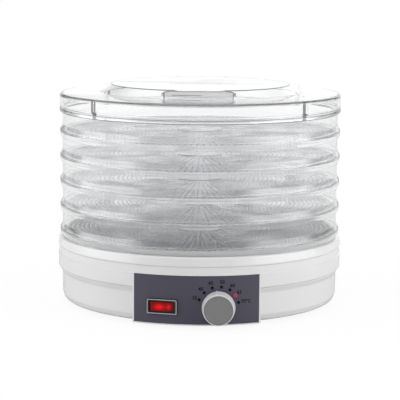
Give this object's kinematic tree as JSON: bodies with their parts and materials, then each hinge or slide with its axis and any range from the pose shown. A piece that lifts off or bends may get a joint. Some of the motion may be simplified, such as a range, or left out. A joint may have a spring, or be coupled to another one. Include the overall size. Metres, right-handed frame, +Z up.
{
  "type": "food dehydrator",
  "caption": "Round electric food dehydrator: white fan-heater base with dial and rocker switch, stacked clear trays and clear lid.",
  "frame": {"origin": "bottom centre of the whole box, on the surface that the rubber feet stand on; the drum's own axis stands 4.95 mm behind it because the knob stands out at the front", "axes": "+Z up, the control panel faces -Y, +X to the right seen from the front"},
  "size_m": [0.3248, 0.3458, 0.25],
  "materials": {
    "clear_plastic": "crystal-clear moulded plastic",
    "white_shell": "satin white",
    "slate_panel": "semi-gloss slate",
    "black_plastic": "satin",
    "rocker_red": "translucent red, lit from inside",
    "knob_ring": "silver",
    "knob_face": "matt grey",
    "steel": "zinc plated",
    "motor_can": "laminated",
    "brass": "satin",
    "copper": "drawn tube",
    "heating_wire": "oxidised",
    "mica": "pressed sheet",
    "fuse_ceramic": "glazed",
    "terminal_nylon": "moulded nylon",
    "wire_sleeve": "silicone sleeve",
    "rubber": "matt"
  },
  "bodies": {
    "base": {"base_lower_shell": "white_shell", "base_upper_shell": "white_shell", "panel_frame": "white_shell", "control_panel": "slate_panel", "shell_screw_1": "steel", "shell_screw_2": "steel", "shell_screw_3": "steel", "shell_screw_4": "steel", "foot_1": "rubber", "foot_2": "rubber", "foot_3": "rubber", "foot_4": "rubber", "switch_body": "black_plastic", "switch_blade_1": "brass", "switch_blade_2": "brass", "switch_blade_3": "brass", "thermostat_body": "steel", "thermostat_nut": "brass", "thermostat_bulb": "copper", "thermostat_capillary": "copper", "motor_bracket": "steel", "bracket_screw_1": "steel", "bracket_screw_2": "steel", "fan_motor": "motor_can", "heater_duct": "steel", "heater_mica_cross": "mica", "heater_coil_1": "heating_wire", "heater_coil_2": "heating_wire", "thermal_fuse": "fuse_ceramic", "outlet_grille": "white_shell", "cord_gland": "rubber", "terminal_block": "terminal_nylon", "wire_supply_live": "wire_sleeve", "wire_supply_neutral": "wire_sleeve", "wire_to_switch": "wire_sleeve", "wire_to_thermostat": "wire_sleeve", "wire_to_heater": "wire_sleeve", "wire_to_motor": "wire_sleeve"},
    "rocker": {"switch_rocker": "rocker_red"},
    "knob": {"knob_body": "knob_ring", "knob_face": "knob_face", "thermostat_spindle": "steel"},
    "fan": {"motor_shaft": "steel", "fan_impeller": "black_plastic"},
    "tray_1": {"tray_1": "clear_plastic"},
    "tray_2": {"tray_2": "clear_plastic"},
    "tray_3": {"tray_3": "clear_plastic"},
    "tray_4": {"tray_4": "clear_plastic"},
    "tray_5": {"tray_5": "clear_plastic"},
    "lid": {"lid": "clear_plastic"}
  },
  "joints": [
    {"name": "switch_rock", "type": "hinge", "parent": "base", "child": "rocker", "pos_m": [-0.03615, -0.15225, 0.0235], "axis": [0, 0, -1], "range_deg": [0, 18]},
    {"name": "thermostat_turn", "type": "hinge", "parent": "base", "child": "knob", "pos_m": [0.0238, -0.15795, 0.0235], "axis": [0, 1, 0], "range_deg": [-61, 85]},
    {"name": "fan_spin", "type": "hinge", "parent": "base", "child": "fan", "pos_m": [0, 0.00495, 0.042], "axis": [0, 0, 1], "continuous": true},
    {"name": "tray_1_lift", "type": "slide", "parent": "base", "child": "tray_1", "axis": [0, 0, 1], "range_m": [0, 0.08]},
    {"name": "tray_2_lift", "type": "slide", "parent": "tray_1", "child": "tray_2", "axis": [0, 0, 1], "range_m": [0, 0.08]},
    {"name": "tray_3_lift", "type": "slide", "parent": "tray_2", "child": "tray_3", "axis": [0, 0, 1], "range_m": [0, 0.08]},
    {"name": "tray_4_lift", "type": "slide", "parent": "tray_3", "child": "tray_4", "axis": [0, 0, 1], "range_m": [0, 0.08]},
    {"name": "tray_5_lift", "type": "slide", "parent": "tray_4", "child": "tray_5", "axis": [0, 0, 1], "range_m": [0, 0.08]},
    {"name": "lid_lift", "type": "slide", "parent": "tray_5", "child": "lid", "axis": [0, 0, 1], "range_m": [0, 0.1]}
  ]
}
